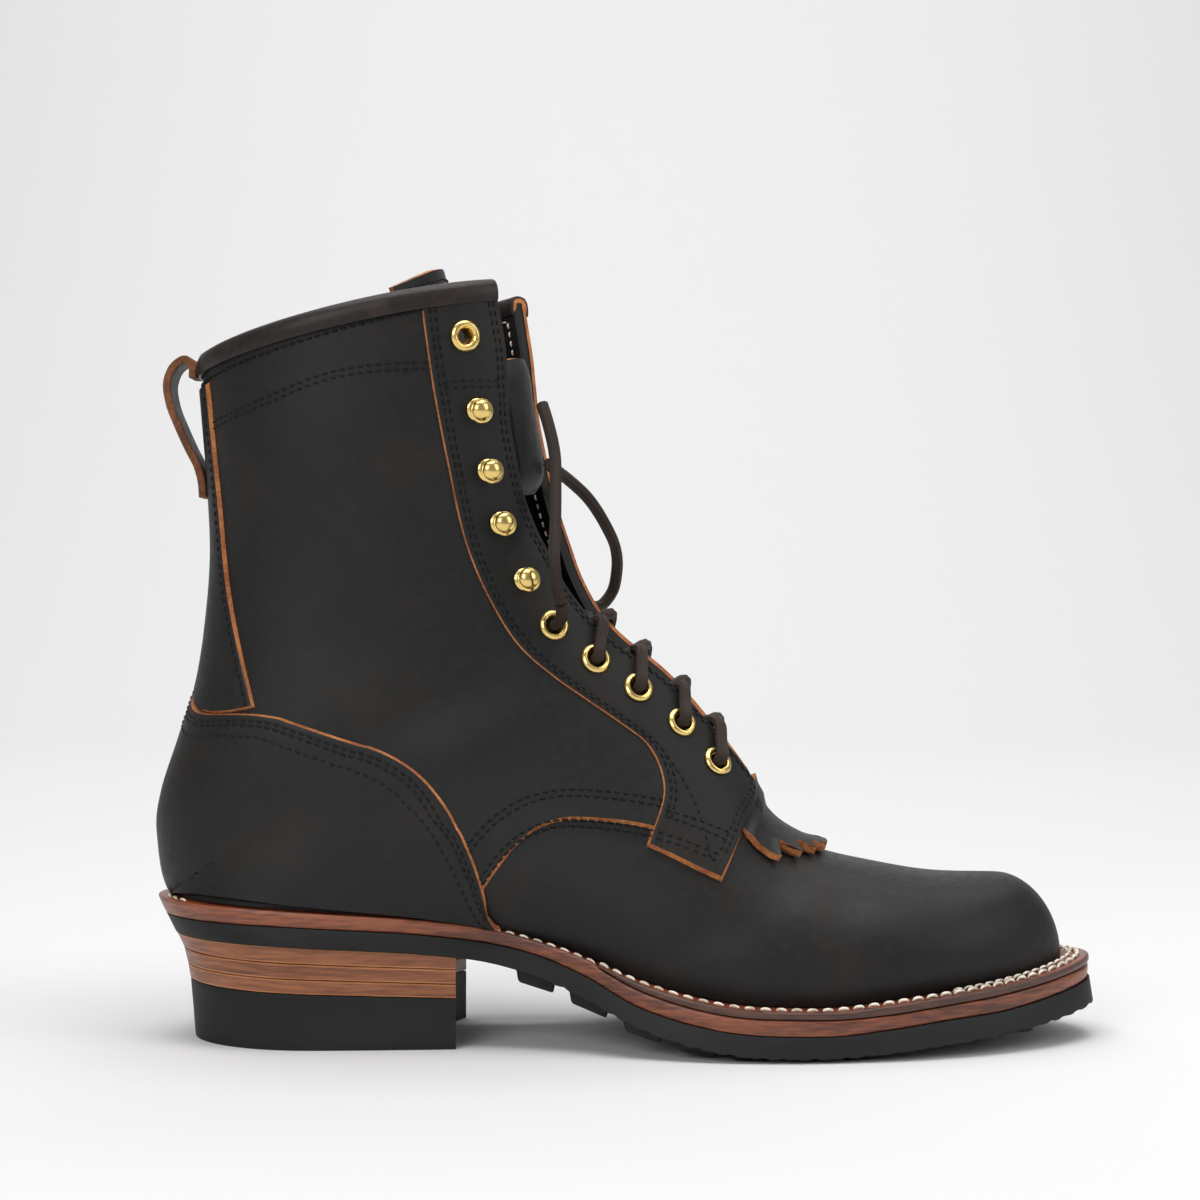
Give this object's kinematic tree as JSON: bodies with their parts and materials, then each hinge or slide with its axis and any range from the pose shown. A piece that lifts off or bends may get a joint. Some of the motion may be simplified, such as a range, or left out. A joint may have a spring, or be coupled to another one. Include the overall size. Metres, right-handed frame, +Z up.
{
  "type": "logger boot",
  "caption": "Lace-up work boot for the right foot: tall leather upper with kiltie, eyelets and lace hooks on a stitched sole with a high stacked heel.",
  "frame": {"origin": "on the floor under the middle of the heel", "axes": "+X towards the toe, +Y towards the inner side of the foot, +Z up"},
  "size_m": [0.31, 0.1107, 0.2532],
  "materials": {
    "black_leather": "oiled full-grain leather, soft sheen",
    "binding_leather": "rolled binding, smooth",
    "sole_leather": "brown stacked leather, waxed edge",
    "welt_leather": "dark brown welt, waxed edge",
    "insole_leather": "plain leather board",
    "black_rubber": "matt moulded rubber",
    "brass": "polished brass",
    "waxed_lace": "waxed cord"
  },
  "bodies": {
    "root": {"backstay": "black_leather", "collar_binding": "binding_leather", "counter": "black_leather", "eyelet_lateral_1": "brass", "eyelet_lateral_10": "brass", "eyelet_lateral_2": "brass", "eyelet_lateral_3": "brass", "eyelet_lateral_4": "brass", "eyelet_lateral_5": "brass", "eyelet_medial_1": "brass", "eyelet_medial_10": "brass", "eyelet_medial_2": "brass", "eyelet_medial_3": "brass", "eyelet_medial_4": "brass", "eyelet_medial_5": "brass", "eyestay_lateral": "black_leather", "eyestay_medial": "black_leather", "gusset": "black_leather", "heel_cap": "black_rubber", "heel_lift_1": "sole_leather", "heel_lift_2": "sole_leather", "heel_lift_3": "sole_leather", "hook_lateral_6": "brass", "hook_lateral_7": "brass", "hook_lateral_8": "brass", "hook_lateral_9": "brass", "hook_medial_6": "brass", "hook_medial_7": "brass", "hook_medial_8": "brass", "hook_medial_9": "brass", "insole": "insole_leather", "kiltie": "black_leather", "lace_bars": "waxed_lace", "lace_end_lateral": "waxed_lace", "lace_loop_medial": "waxed_lace", "midsole": "sole_leather", "outsole": "black_rubber", "pull_loop": "black_leather", "tongue": "black_leather", "upper": "black_leather", "welt": "welt_leather"}
  },
  "joints": []
}
